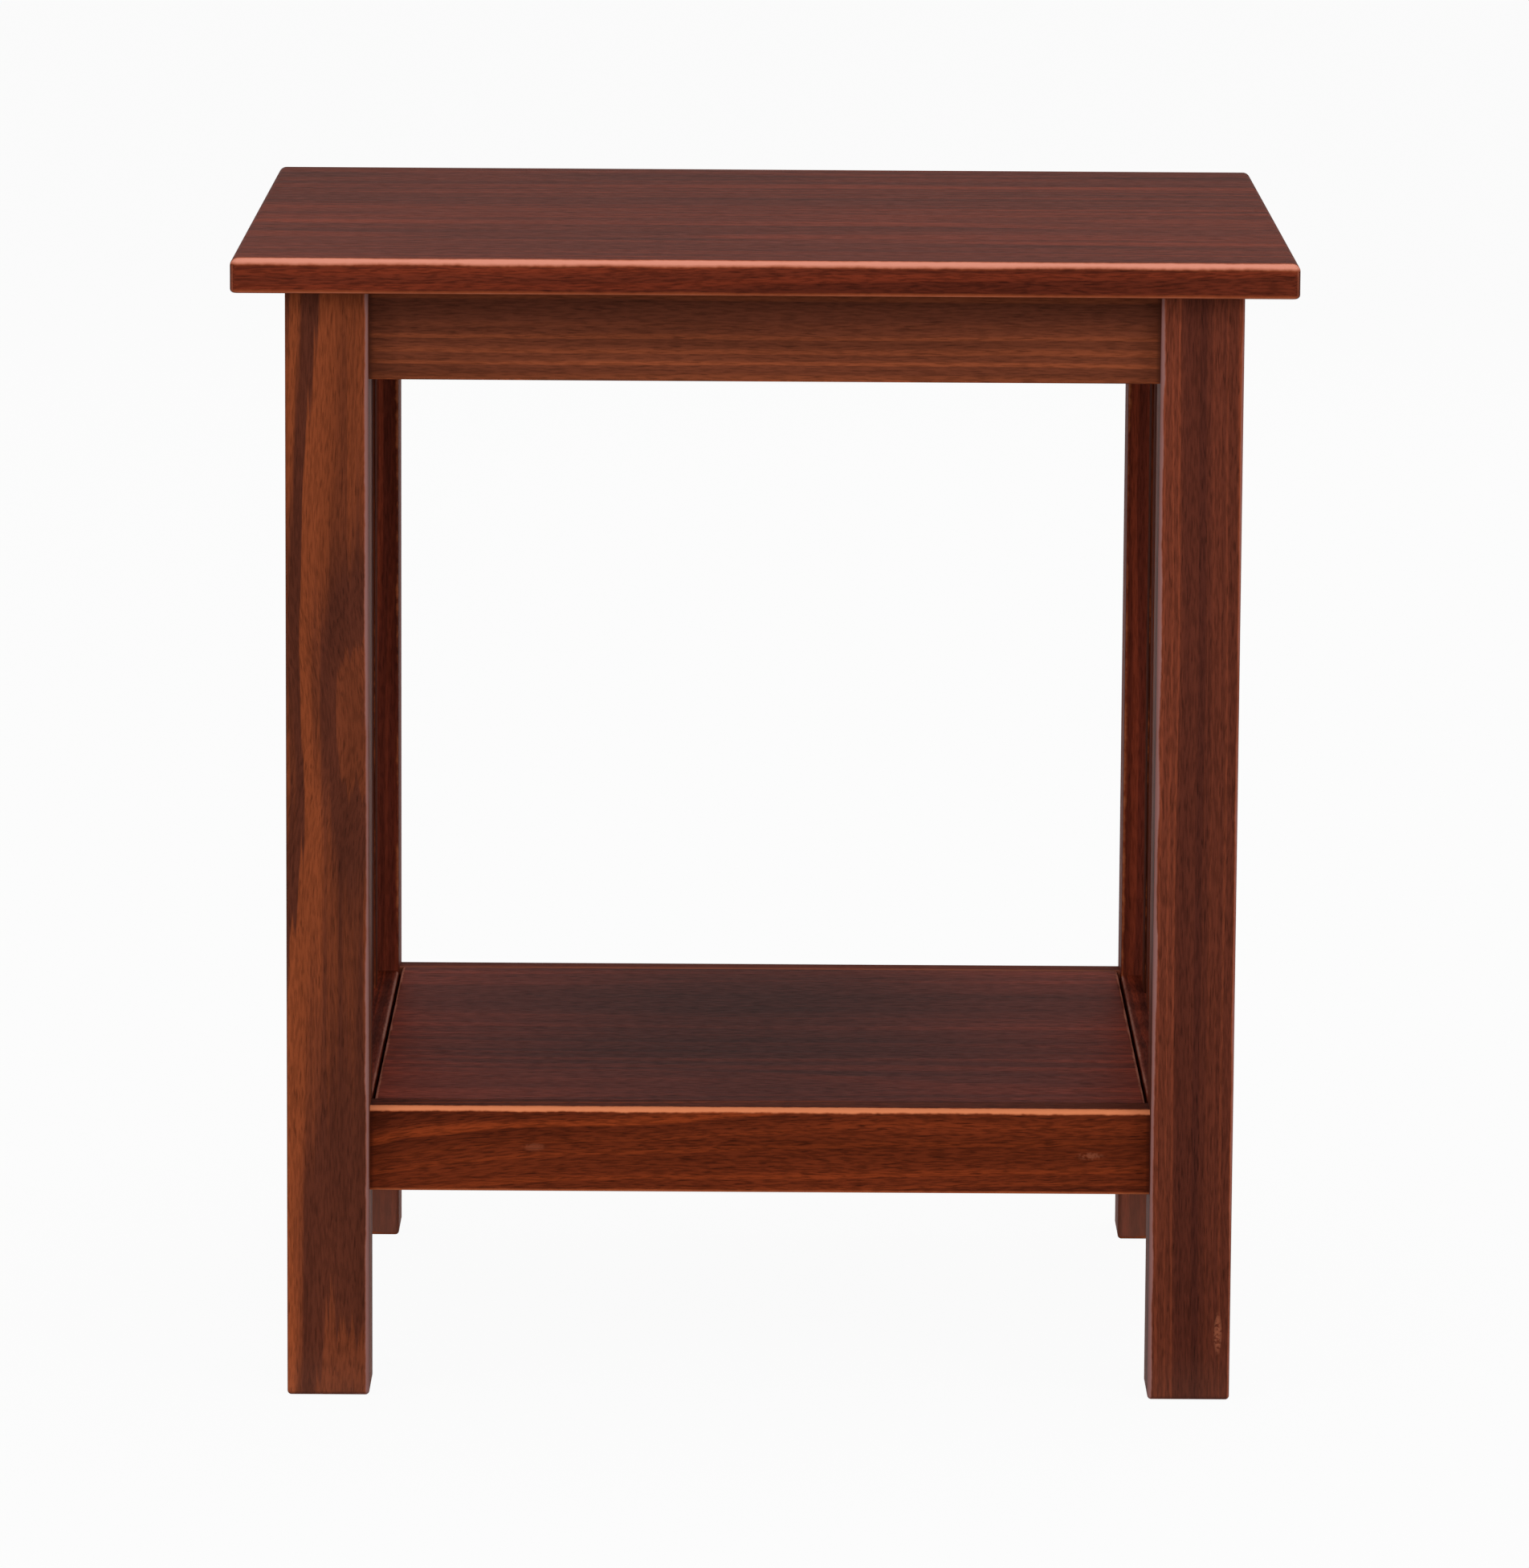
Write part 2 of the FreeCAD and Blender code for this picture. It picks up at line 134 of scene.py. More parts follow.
def noise(tree, place, scale, detail, colour=False):
    """Soft random values between about 0.3 and 0.7; place is a vector, or a number for a pattern on a line."""
    node = tree.nodes.new("ShaderNodeTexNoise")
    on_line = isinstance(place, bpy.types.NodeSocket) and place.type == "VALUE"
    node.noise_dimensions = "1D" if on_line else "3D"
    feed(tree, place, node.inputs["W" if on_line else "Vector"])
    node.inputs["Scale"].default_value = scale
    node.inputs["Detail"].default_value = detail
    return node.outputs["Color" if colour else "Fac"]


def blend(tree, share, first, second):
    """Two colours mixed by a share."""
    node = tree.nodes.new("ShaderNodeMix")
    node.data_type = "RGBA"
    for value, socket in ((share, MIX_SHARE), (first, MIX_FIRST), (second, MIX_SECOND)):
        feed(tree, value, node.inputs[socket])
    return node.outputs[MIX_RESULT]


def node_group(name, inputs, outputs):
    """An empty node group; gives the group, its inputs to read from and its outputs to feed."""
    group = bpy.data.node_groups.new(name, "ShaderNodeTree")
    for label, kind in inputs.items():
        group.interface.new_socket(label, in_out="INPUT", socket_type=SOCKETS[kind])
    for label, kind in outputs.items():
        group.interface.new_socket(label, in_out="OUTPUT", socket_type=SOCKETS[kind])
    return group, group.nodes.new("NodeGroupInput").outputs, group.nodes.new("NodeGroupOutput").inputs


def use_group(tree, group, **values):
    """Place a group in a material with its own values; gives its outputs."""
    node = tree.nodes.new("ShaderNodeGroup")
    node.node_tree = group
    for label, value in values.items():
        feed(tree, value, node.inputs[label.replace("_", " ")])
    return node.outputs


print("helpers ready for", ", ".join(SOCKETS), "sockets")

# %% [markdown]
# A tree adds a ring of wood each year: soft spring wood that ends in a thin hard line of summer wood. A board
# is a straight cut through those rings, so its figure follows from where the log's heart lies. A heart far off
# to one side of a face gives straight close lines, and one that lies straight behind it gives broad bands and
# pointed arches. This group measures the distance from the heart, lets the log lean, sweep, swell and wander
# along its length, and then counts rings. Noise that is drawn out along the log adds streaks, fibres and pores.
# A painted stripe pattern would be simpler, but it would not agree on neighbouring faces of one board, and this
# does, also on the sawn ends.

# %% Growth rings
ACROSS_AND_ALONG = {  # how fast each noise changes across a log, twice, and along it, per metre
    "stray": (16.0, 16.0, 4.0), "waver": (90.0, 90.0, 7.0), "streak": (330.0, 330.0, 5.0),
    "fibre": (1100.0, 1100.0, 130.0), "pore": (1500.0, 1500.0, 110.0), "blotch": (90.0, 90.0, 3.0),
}
MIDDLE, MIDDLES = 0.5, (0.5, 0.5, 0.5)  # what a noise is on average
BAND_EDGES, FIBRE_EDGES, PORE_EDGES = (0.3, 0.7), (0.3, 0.66), (0.58, 0.7)  # where in a noise each one starts and ends
WAVER_SHARE = (0.16, 0.16, 0.0)
YEAR_PACE, YEAR_SPREAD, BAND_PACE = 0.37, 1.6, 0.21
FAINTEST_LINE, LINE_SOFT, LINE_END = 0.2, 0.16, 0.92
SEED_SKEW = 1.7

rings_group, given, result = node_group(
    "growth rings",
    {"Board": "vector", "Heart": "vector", "Lean": "vector", "Ring": "value", "Early": "value", "Sweep": "value",
     "Sweep From": "value", "Swell": "vector", "Swell At": "value", "Swell Length": "value", "Wander": "value",
     "Streak": "value", "Seed": "value"},
    {"Line": "value", "Band": "value", "Fibre": "value", "Pore": "value", "Blotch": "value"},
)


def seeded(tree, place, seed):
    """A place moved far along by a seed, so that boards of one shape differ."""
    shift = tree.nodes.new("ShaderNodeCombineXYZ")
    feed(tree, seed, shift.inputs[0])
    feed(tree, maths(tree, "MULTIPLY", seed, SEED_SKEW), shift.inputs[1])
    return vectors(tree, "ADD", place, shift.outputs[0])


def drawn_out(tree, spot, kind, detail, colour=False):
    """One of the noises that are drawn out along a log."""
    return noise(tree, vectors(tree, "MULTIPLY", spot, ACROSS_AND_ALONG[kind]), 1.0, detail, colour)


def wandering(tree, spot, amount):
    """How far a log strays sideways at a spot: slowly, with a little quick waver."""
    stray = vectors(tree, "SUBTRACT", drawn_out(tree, spot, "stray", 1.0, colour=True), MIDDLES)
    waver = vectors(tree, "SUBTRACT", drawn_out(tree, spot, "waver", 2.0, colour=True), MIDDLES)
    both = split(tree, vectors(tree, "ADD", stray, vectors(tree, "MULTIPLY", waver, WAVER_SHARE)))
    return [maths(tree, "MULTIPLY", part, amount) for part in both[:2]]


def fill_rings(tree):
    """Distance from the heart, cut into rings of uneven strength."""
    across, depth, along = split(tree, given["Board"])[:3]
    spot = seeded(tree, given["Board"], given["Seed"])
    stray_x, stray_y = wandering(tree, spot, given["Wander"])
    heart_x, heart_y = split(tree, given["Heart"])[:2]
    lean_x, lean_y = split(tree, given["Lean"])[:2]
    run = maths(tree, "MAXIMUM", maths(tree, "SUBTRACT", given["Sweep From"], along), 0.0)
    bend = maths(tree, "MULTIPLY", given["Sweep"], maths(tree, "MULTIPLY", run, run))
    reach = maths(tree, "DIVIDE", maths(tree, "SUBTRACT", along, given["Swell At"]), given["Swell Length"])
    bulge = maths(tree, "EXPONENT", maths(tree, "MULTIPLY", maths(tree, "MULTIPLY", reach, reach), -1.0))

    swell_x, swell_y = split(tree, given["Swell"])[:2]
    x = maths(tree, "ADD", maths(tree, "SUBTRACT", across, heart_x), stray_x)
    x = maths(tree, "SUBTRACT", x, maths(tree, "MULTIPLY", lean_x, along))
    x = maths(tree, "MULTIPLY_ADD", swell_x, bulge, x)
    y = maths(tree, "ADD", maths(tree, "SUBTRACT", depth, heart_y), stray_y)
    y = maths(tree, "SUBTRACT", y, maths(tree, "MULTIPLY", lean_y, along))
    y = maths(tree, "ADD", y, maths(tree, "MULTIPLY_ADD", swell_y, bulge, bend))
    far = maths(tree, "SQRT", maths(tree, "ADD", maths(tree, "MULTIPLY", x, x), maths(tree, "MULTIPLY", y, y)))
    streak = maths(tree, "SUBTRACT", drawn_out(tree, spot, "streak", 3.0), MIDDLE)
    far = maths(tree, "MULTIPLY_ADD", streak, given["Streak"], far)
    count = maths(tree, "ADD", maths(tree, "DIVIDE", far, given["Ring"]), given["Seed"])
    count = maths(tree, "MULTIPLY_ADD", noise(tree, count, YEAR_PACE, 1.0), YEAR_SPREAD, count)

    year = maths(tree, "FRACT", count)
    chance = tree.nodes.new("ShaderNodeTexWhiteNoise")
    chance.noise_dimensions = "1D"
    feed(tree, maths(tree, "FLOOR", count), chance.inputs["W"])
    strength = smooth(tree, chance.outputs["Value"], 0.0, 1.0, FAINTEST_LINE, 1.0)
    hard_from, hard_to = [maths(tree, "ADD", given["Early"], step) for step in (-LINE_SOFT, LINE_SOFT)]
    summer = smooth(tree, year, hard_from, hard_to)
    summer = maths(tree, "MULTIPLY", summer, smooth(tree, year, LINE_END, 1.0, 1.0, 0.0))
    feed(tree, maths(tree, "MULTIPLY", summer, strength), result["Line"])
    feed(tree, smooth(tree, noise(tree, count, BAND_PACE, 1.0), *BAND_EDGES), result["Band"])

    log = tree.nodes.new("ShaderNodeCombineXYZ")
    for part, socket in zip((x, y, along), log.inputs):
        feed(tree, part, socket)
    strand = seeded(tree, log.outputs[0], given["Seed"])
    feed(tree, smooth(tree, drawn_out(tree, strand, "fibre", 3.0), *FIBRE_EDGES), result["Fibre"])
    feed(tree, smooth(tree, drawn_out(tree, strand, "pore", 1.0), *PORE_EDGES), result["Pore"])
    feed(tree, drawn_out(tree, strand, "blotch", 4.0), result["Blotch"])


fill_rings(rings_group)
print(rings_group.name, "has", len(rings_group.nodes), "nodes")

# %% [markdown]
# Hands, cloths and moving house rub the stain off the edges first, unevenly, down to pale wood. On a board,
# the distance to an edge follows from its size: of the three distances to its pairs of faces, one is nought
# on the surface, and a second one is small only near an edge. The group takes each family of edges in turn
# and lets noise decide how far the rubbing reaches. The shares say how much each side is rubbed, since an edge
# that meets another board is safe, and a side with a small share is thinned but hardly bared. A pointiness map
# would need a much finer mesh. On the front legs the same masks also carry a painted highlight along the rounded
# edges, and on the top a painted sheen over the rubbed wood.

# %% Rubbed edges
PATCHES_PER_METRE, PATCH_EDGES = 19.0, (0.36, 0.62)
ROUGHNESS_PER_METRE = 240.0

rub_group, given, result = node_group(
    "rubbed edges",
    {"Middle": "vector", "Half": "vector", "Reach": "vector", "Low Share": "vector", "High Share": "vector",
     "Patchy": "value", "Ragged": "value", "Softness": "value", "Bare Share": "value", "Seed": "value"},
    {"Thin": "value", "Bare": "value"},
)


def side_shares(tree):
    """For each axis, the share of rubbing on the side where a point lies."""
    shares = []
    for part, low, high in zip(*[split(tree, given[label])[:3] for label in ("Middle", "Low Share", "High Share")]):
        above = maths(tree, "GREATER_THAN", part, 0.0)
        shares.append(maths(tree, "MULTIPLY_ADD", above, maths(tree, "SUBTRACT", high, low), low))
    return shares


def fill_rub(tree):
    """Masks of thinned stain and of bare wood near the edges."""
    away = split(tree, vectors(tree, "SUBTRACT", given["Half"], vectors(tree, "ABSOLUTE", given["Middle"])))[:3]
    reach = split(tree, given["Reach"])[:3]
    shares = side_shares(tree)
    spot = seeded(tree, given["Middle"], given["Seed"])
    missed = smooth(tree, noise(tree, spot, PATCHES_PER_METRE, 3.0), *PATCH_EDGES, 1.0, 0.0)
    patches = maths(tree, "SUBTRACT", 1.0, maths(tree, "MULTIPLY", given["Patchy"], missed))
    rough = maths(tree, "SUBTRACT", noise(tree, spot, ROUGHNESS_PER_METRE, 4.0), MIDDLE)
    amount = maths(tree, "MULTIPLY", patches, maths(tree, "MULTIPLY_ADD", rough, given["Ragged"], 1.0))
    thin = bare = 0.0
    for axis, (first, second) in enumerate(((1, 2), (0, 2), (0, 1))):
        far = maths(tree, "MAXIMUM", away[first], away[second])
        sides = maths(tree, "MULTIPLY", shares[first], shares[second])
        deep = maths(tree, "MULTIPLY", maths(tree, "MULTIPLY", reach[axis], sides), amount)
        left = maths(tree, "SUBTRACT", deep, far)
        thin = maths(tree, "MAXIMUM", thin, maths(tree, "DIVIDE", left, given["Softness"], clamp=True))
        deep = maths(tree, "MULTIPLY", deep, maths(tree, "MULTIPLY", given["Bare Share"], sides))
        left = maths(tree, "SUBTRACT", deep, far)
        bare = maths(tree, "MAXIMUM", bare, maths(tree, "DIVIDE", left, given["Softness"], clamp=True))
    feed(tree, thin, result["Thin"])
    feed(tree, bare, result["Bare"])


fill_rub(rub_group)
print(rub_group.name, "has", len(rub_group.nodes), "nodes")

# %% [markdown]
# A few knocks have scraped the faces as well: two hazy scuffs on the front shelf rail and a scrape low on the
# front right leg. Each is a soft oval at a place on its board, broken up by fine noise. A mark that was carved
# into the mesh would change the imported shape, which has to stay as it is.

# %% Scuffs
BREAKS_PER_METRE, BREAK_EDGES = 600.0, (0.36, 0.56)

scuff_group, given, result = node_group(
    "scuff", {"Middle": "vector", "At": "vector", "Size": "vector"}, {"Mask": "value"}
)


def fill_scuff(tree):
    """A broken oval patch."""
    apart = vectors(tree, "DIVIDE", vectors(tree, "SUBTRACT", given["Middle"], given["At"]), given["Size"])
    x, y, z = [maths(tree, "MULTIPLY", part, part) for part in split(tree, apart)[:3]]
    inside = smooth(tree, maths(tree, "ADD", maths(tree, "ADD", x, y), z), 1.0, 0.0)
    broken = smooth(tree, noise(tree, given["Middle"], BREAKS_PER_METRE, 3.0), *BREAK_EDGES)
    feed(tree, maths(tree, "MULTIPLY", inside, broken), result["Mask"])


fill_scuff(scuff_group)
print(scuff_group.name, "has", len(scuff_group.nodes), "nodes")

# %% [markdown]
# Stain soaks into the soft spring wood and turns it dark, and stays thin and orange on the hard summer wood.
# It gathers in blotches and in the pores, and the sawn ends drink the most. Painted light and shade then make a
# board lighter or darker towards one end or one edge: painted shade under the top's overhang on the front apron,
# painted light at the ends of the shelf, and lighter or darker lower down on the front legs. The group mixes the
# two colours by the rings and makes them deeper or paler by all the rest. A ramp of browns would be quicker, but
# then the boards could not differ so simply.

# %% Stain
PALEST_FIBRE = 1.08
END_FROM, END_TO, END_SHARE = 0.0004, 0.0022, 0.55

stain_group, given, result = node_group(
    "stain",
    {"Board": "vector", "Half Length": "value", "Line": "value", "Band": "value", "Fibre": "value", "Pore": "value",
     "Blotch": "value", "Soft": "colour", "Hard": "colour", "Contrast": "value", "Bands": "value", "Pale": "value",
     "Uneven": "value", "Fibres": "value", "Pores": "value", "Tone": "value", "Slope": "value", "Fade": "value",
     "Tips": "value"},
    {"Colour": "colour"},
)


def fill_stain(tree):
    """Stain over soft and hard wood: uneven, with painted light and shade along and across the board, and dark on the
    ends.
    """
    share = maths(tree, "MULTIPLY_ADD", given["Band"], given["Bands"], given["Pale"])
    share = maths(tree, "MULTIPLY_ADD", given["Line"], given["Contrast"], share, clamp=True)
    colour = blend(tree, share, given["Soft"], given["Hard"])
    blotch = maths(tree, "SUBTRACT", given["Blotch"], MIDDLE)
    tone = maths(tree, "MULTIPLY_ADD", blotch, given["Uneven"], given["Tone"])
    deepest = maths(tree, "SUBTRACT", 1.0, given["Fibres"])
    tone = maths(tree, "MULTIPLY", tone, smooth(tree, given["Fibre"], 0.0, 1.0, deepest, PALEST_FIBRE))
    filled = maths(tree, "MULTIPLY", given["Pore"], given["Pores"])
    tone = maths(tree, "MULTIPLY", tone, maths(tree, "SUBTRACT", 1.0, filled))

    depth, along = split(tree, given["Board"])[1:]
    # Painted light and shade: the colour is made lighter or darker along the board, more towards its ends, and across
    # it.
    fade = maths(tree, "MULTIPLY_ADD", along, given["Tips"], given["Fade"])
    fade = maths(tree, "MULTIPLY_ADD", along, fade, maths(tree, "MULTIPLY_ADD", depth, given["Slope"], 1.0))
    scaled = tree.nodes.new("ShaderNodeVectorMath")
    scaled.operation = "SCALE"
    feed(tree, colour, scaled.inputs[0])
    feed(tree, maths(tree, "MULTIPLY", tone, fade), scaled.inputs["Scale"])
    from_end = maths(tree, "SUBTRACT", given["Half Length"], maths(tree, "ABSOLUTE", along))
    end = smooth(tree, from_end, END_FROM, END_TO, END_SHARE, 0.0)
    feed(tree, blend(tree, end, scaled.outputs[0], given["Soft"]), result["Colour"])


fill_stain(stain_group)
print(stain_group.name, "has", len(stain_group.nodes), "nodes")

# %% [markdown]
# A pale film is painted on the feet, thickest at the floor and gone higher up. It is painted sheen and light:
# the glow of the pale floor on the lowest part of the legs, and the light that reaches the rear feet under the
# shelf. The group lays it over the stain by the height above the floor, as a colour and no layer of its own.

# %% Painted sheen on the feet
def srgb(red, green, blue):
    """A colour as it is read off a screen, 0 to 255, made linear."""
    parts = [value / 255 for value in (red, green, blue)]
    return tuple(p / 12.92 if p <= 0.04045 else ((p + 0.055) / 1.055) ** 2.4 for p in parts) + (1.0,)


FOOT_SHEEN = srgb(158, 108, 90)
foot_sheen_group, given, result = node_group(
    "foot_sheen", {"Colour": "colour", "Rise": "value", "Tall": "value", "Share": "value"}, {"Colour": "colour"}
)


def fill_foot_sheen(tree):
    """A painted sheen that is thickest at the floor and gone at its full height."""
    share = smooth(tree, given["Rise"], 0.0, given["Tall"], given["Share"], 0.0)
    feed(tree, blend(tree, share, given["Colour"], FOOT_SHEEN), result["Colour"])


fill_foot_sheen(foot_sheen_group)
print(foot_sheen_group.name, "has", len(foot_sheen_group.nodes), "nodes")

# %% [markdown]
# The boards, the dowels and the screws start in the same way: a shader, the place of a point on its piece, and
# a little relief, because stained wood and plated metal are never quite flat. Relief this shallow would need
# millions of faces, so a Bump node only tilts the light by it. A Mapping node moves and turns a pattern until
# it lies as the piece does.

# %% What the materials share
RELIEF_DEEP = 0.0002


def new_material(name):
    """A material, with its node tree and its shader."""
    material = bpy.data.materials.new(name)
    material.use_nodes = True
    return material, material.node_tree, material.node_tree.nodes["Principled BSDF"]


def on_piece(tree):
    """The place of a point on its piece."""
    return tree.nodes.new("ShaderNodeTexCoord").outputs["Object"]


def relief(tree, shader, height, strength, deep=RELIEF_DEEP):
    """Shallow relief on a shader's surface."""
    bump = tree.nodes.new("ShaderNodeBump")
    bump.inputs["Strength"].default_value = strength
    bump.inputs["Distance"].default_value = deep
    feed(tree, height, bump.inputs["Height"])
    feed(tree, bump.outputs[0], shader.inputs["Normal"])


def dress(label, material):
    """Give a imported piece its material."""
    nodes[label].data.materials.clear()
    nodes[label].data.materials.append(material)


def mapping(tree, vector, place, turn=(0.0, 0.0, 0.0)):
    """A vector moved and turned."""
    node = tree.nodes.new("ShaderNodeMapping")
    feed(tree, vector, node.inputs["Vector"])
    node.inputs["Location"].default_value = place
    node.inputs["Rotation"].default_value = turn
    return node.outputs[0]


print("relief of", RELIEF_DEEP * 1000, "mm")

# %% [markdown]
# Every board now gets a material of its own: the same stain and varnish, but its own place in the log, its
# own depth of colour and its own rubbing. The grain runs along the board, so the board is turned until its
# length points along Z before the rings are counted. Edge-glued boards are rubbed as one panel, because their
# glued edges are safe inside it.

# %% Stained boards
TURNS = {  # how a board is turned when its length lies along each axis
    "x": Matrix(((0, 1, 0), (0, 0, 1), (1, 0, 0))),
    "y": Matrix(((0, 0, 1), (1, 0, 0), (0, 1, 0))),
    "z": Matrix.Identity(3),
}
NO_SHIFT = (0.0, 0.0, 0.0)
GLOSS, FIBRE_GLOSS, RUBBED_ROUGH = 0.025, -0.08, 0.1
BOARD_RELIEF, FIBRE_HIGH, LINE_HIGH = 0.25, 0.5, 0.5
THIN_STAIN, SCUFFED = srgb(150, 74, 42), srgb(146, 84, 60)


def box_of(labels):
    """Lowest and highest corner of several boards together."""
    boxes = [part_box(label) for label in labels]
    return [Vector([pick(box[end][i] for box in boxes) for i in range(3)]) for end, pick in ((0, min), (1, max))]


def picked(figure, *names):
    """Some of a figure's values, under the names of a group's inputs."""
    return {name.title(): figure[name] for name in names}


def board_colour(tree, rings, board, length, figure):
    """The stain over the rings."""
    layers = {label: rings[label] for label in ("Line", "Band", "Fibre", "Pore", "Blotch")}
    # The last three values are painted light and shade along and across the board.
    depths = picked(figure, "contrast", "bands", "pale", "uneven", "fibres", "pores", "tone", "slope", "fade", "tips")
    return use_group(tree, stain_group, Board=board, Half_Length=length / 2, Soft=srgb(*figure["soft"]),
                     Hard=srgb(*figure["hard"]), **layers, **depths)["Colour"]


def stained_board(label, along, panel, figure):
    """The material of one board."""
    material, tree, shader = new_material(label)
    place = on_piece(tree)
    low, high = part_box(label)
    length = (high - low)["xyz".index(along)]
    board = mapping(tree, mapping(tree, place, -(low + high) / 2), NO_SHIFT, TURNS[along].to_euler())
    log = {name: (*figure[name.lower()], 0.0) for name in ("Heart", "Lean", "Swell")}
    growth = picked(figure, "ring", "early", "sweep", "sweep_from", "swell_at", "swell_length", "wander", "streak",
                    "seed")
    rings = use_group(tree, rings_group, Board=board, **log, **growth)
    low, high = box_of(panel)
    middle = mapping(tree, place, -(low + high) / 2)
    wear = picked(figure, "reach", "low_share", "high_share", "patchy", "ragged", "softness", "bare_share", "seed")
    rub = use_group(tree, rub_group, Middle=middle, Half=(high - low) / 2, **wear)

    colour = board_colour(tree, rings, board, length, figure)
    # Painted sheen and light: a pale film on the feet, thickest at the floor.
    if figure["foot_sheen"]:
        tall, share = figure["foot_sheen"]
        rise = maths(tree, "ADD", split(tree, middle)["Z"], (high - low).z / 2)
        colour = use_group(tree, foot_sheen_group, Colour=colour, Rise=rise, Tall=tall, Share=share)["Colour"]
    for at, size, share in figure["scuffs"]:
        mark = use_group(tree, scuff_group, Middle=middle, At=at, Size=size)
        colour = blend(tree, maths(tree, "MULTIPLY", mark["Mask"], share), colour, SCUFFED)
    colour = blend(tree, rub["Thin"], colour, THIN_STAIN)
    colour = blend(tree, rub["Bare"], colour, srgb(*figure["bare_wood"]))
    feed(tree, colour, shader.inputs["Base Color"])

    rough = maths(tree, "MULTIPLY_ADD", rings["Fibre"], FIBRE_GLOSS, figure["rough"])
    feed(tree, maths(tree, "MULTIPLY_ADD", rub["Thin"], RUBBED_ROUGH, rough), shader.inputs["Roughness"])
    shader.inputs["Specular IOR Level"].default_value = GLOSS
    lines = maths(tree, "MULTIPLY", rings["Line"], LINE_HIGH)
    height = maths(tree, "MULTIPLY_ADD", rings["Fibre"], FIBRE_HIGH, lines)
    relief(tree, shader, height, BOARD_RELIEF)
    return material


print("stain over a gloss of", GLOSS)

# %% [markdown]
# Wood is strongest along its grain, so every board is sawn with the grain along its length: from side to side
# in the top, the shelf, the aprons, the shelf rails and the cleats of the top, from front to rear in the side
# rails and the cleats of the shelf, and upright in the legs and the slats. Loops over the names of a kind are
# shorter than a line for each board.

# %% Which way the grain runs
SLATS_A_SIDE = 6
SIDES = ("left", "right")
ENDS = ("front", "rear")
TOP = [f"top_board_{name}" for name in ("front", "middle", "rear")]
SHELF = [f"shelf_board_{end}" for end in ENDS]
FROM_SIDE_TO_SIDE = ("apron", "shelf_rail", "top_cleat")
FROM_FRONT_TO_REAR = ("upper_side_rail", "lower_side_rail", "shelf_cleat")
ALONG = {label: "x" for label in TOP + SHELF}
ALONG.update({f"{kind}_{end}": "x" for kind in FROM_SIDE_TO_SIDE for end in ENDS})
ALONG.update({f"{kind}_{side}": "y" for kind in FROM_FRONT_TO_REAR for side in SIDES})
ALONG.update({f"leg_{end}_{side}": "z" for end in ENDS for side in SIDES})
ALONG.update({f"slat_{side}_{number}": "z" for side in SIDES for number in range(1, SLATS_A_SIDE + 1)})
print("grain runs along", ", ".join(f"{axis} in {list(ALONG.values()).count(axis)} boards" for axis in "xyz"))

# %% [markdown]
# The figure says how a board's log lay and how it was stained and rubbed, and where light and shade are painted
# on it. Boards that the photograph shows plainly have values judged from it: broad bands round a crescent on the
# front left leg, close straight lines on the right one, sloping lines at the left end of the front shelf rail, a
# painted shade along the upper edge of the front apron, and fine even lines on the top and the shelf. The top is
# rubbed to a bare wood that a painted sheen makes pinkish, and the shelf rails to a more orange one. The front legs'
# edges get a greyer one that is partly wear and partly a painted highlight. Values for a kind of board come first,
# and a board's own values go over them, so that each value is written only once.

# %% Figures of the boards
ALL_SIDES = (1.0, 1.0, 1.0)
# A board has no painted light or shade along or across it unless its kind or its own values give some.
PLAIN_FIGURE = {
    "lean": (0.0, 0.0), "early": 0.5, "sweep": 0.0, "sweep_from": 0.0, "swell": (0.0, 0.0), "swell_at": 0.0,
    "swell_length": 0.1, "wander": 0.009, "streak": 0.0025,
    "soft": (62, 26, 16), "hard": (118, 51, 28), "contrast": 0.6, "bands": 0.4, "pale": 0.1, "uneven": 1.2,
    "fibres": 0.25, "pores": 0.3, "fade": 0.0, "tips": 0.0, "slope": 0.0, "rough": 0.62,
    "reach": (0.0012, 0.0012, 0.0014), "low_share": ALL_SIDES, "high_share": ALL_SIDES, "patchy": 0.95, "ragged": 1.6,
    "softness": 0.0008, "bare_share": 0.3, "bare_wood": (190, 112, 76), "scuffs": (), "foot_sheen": None,
}
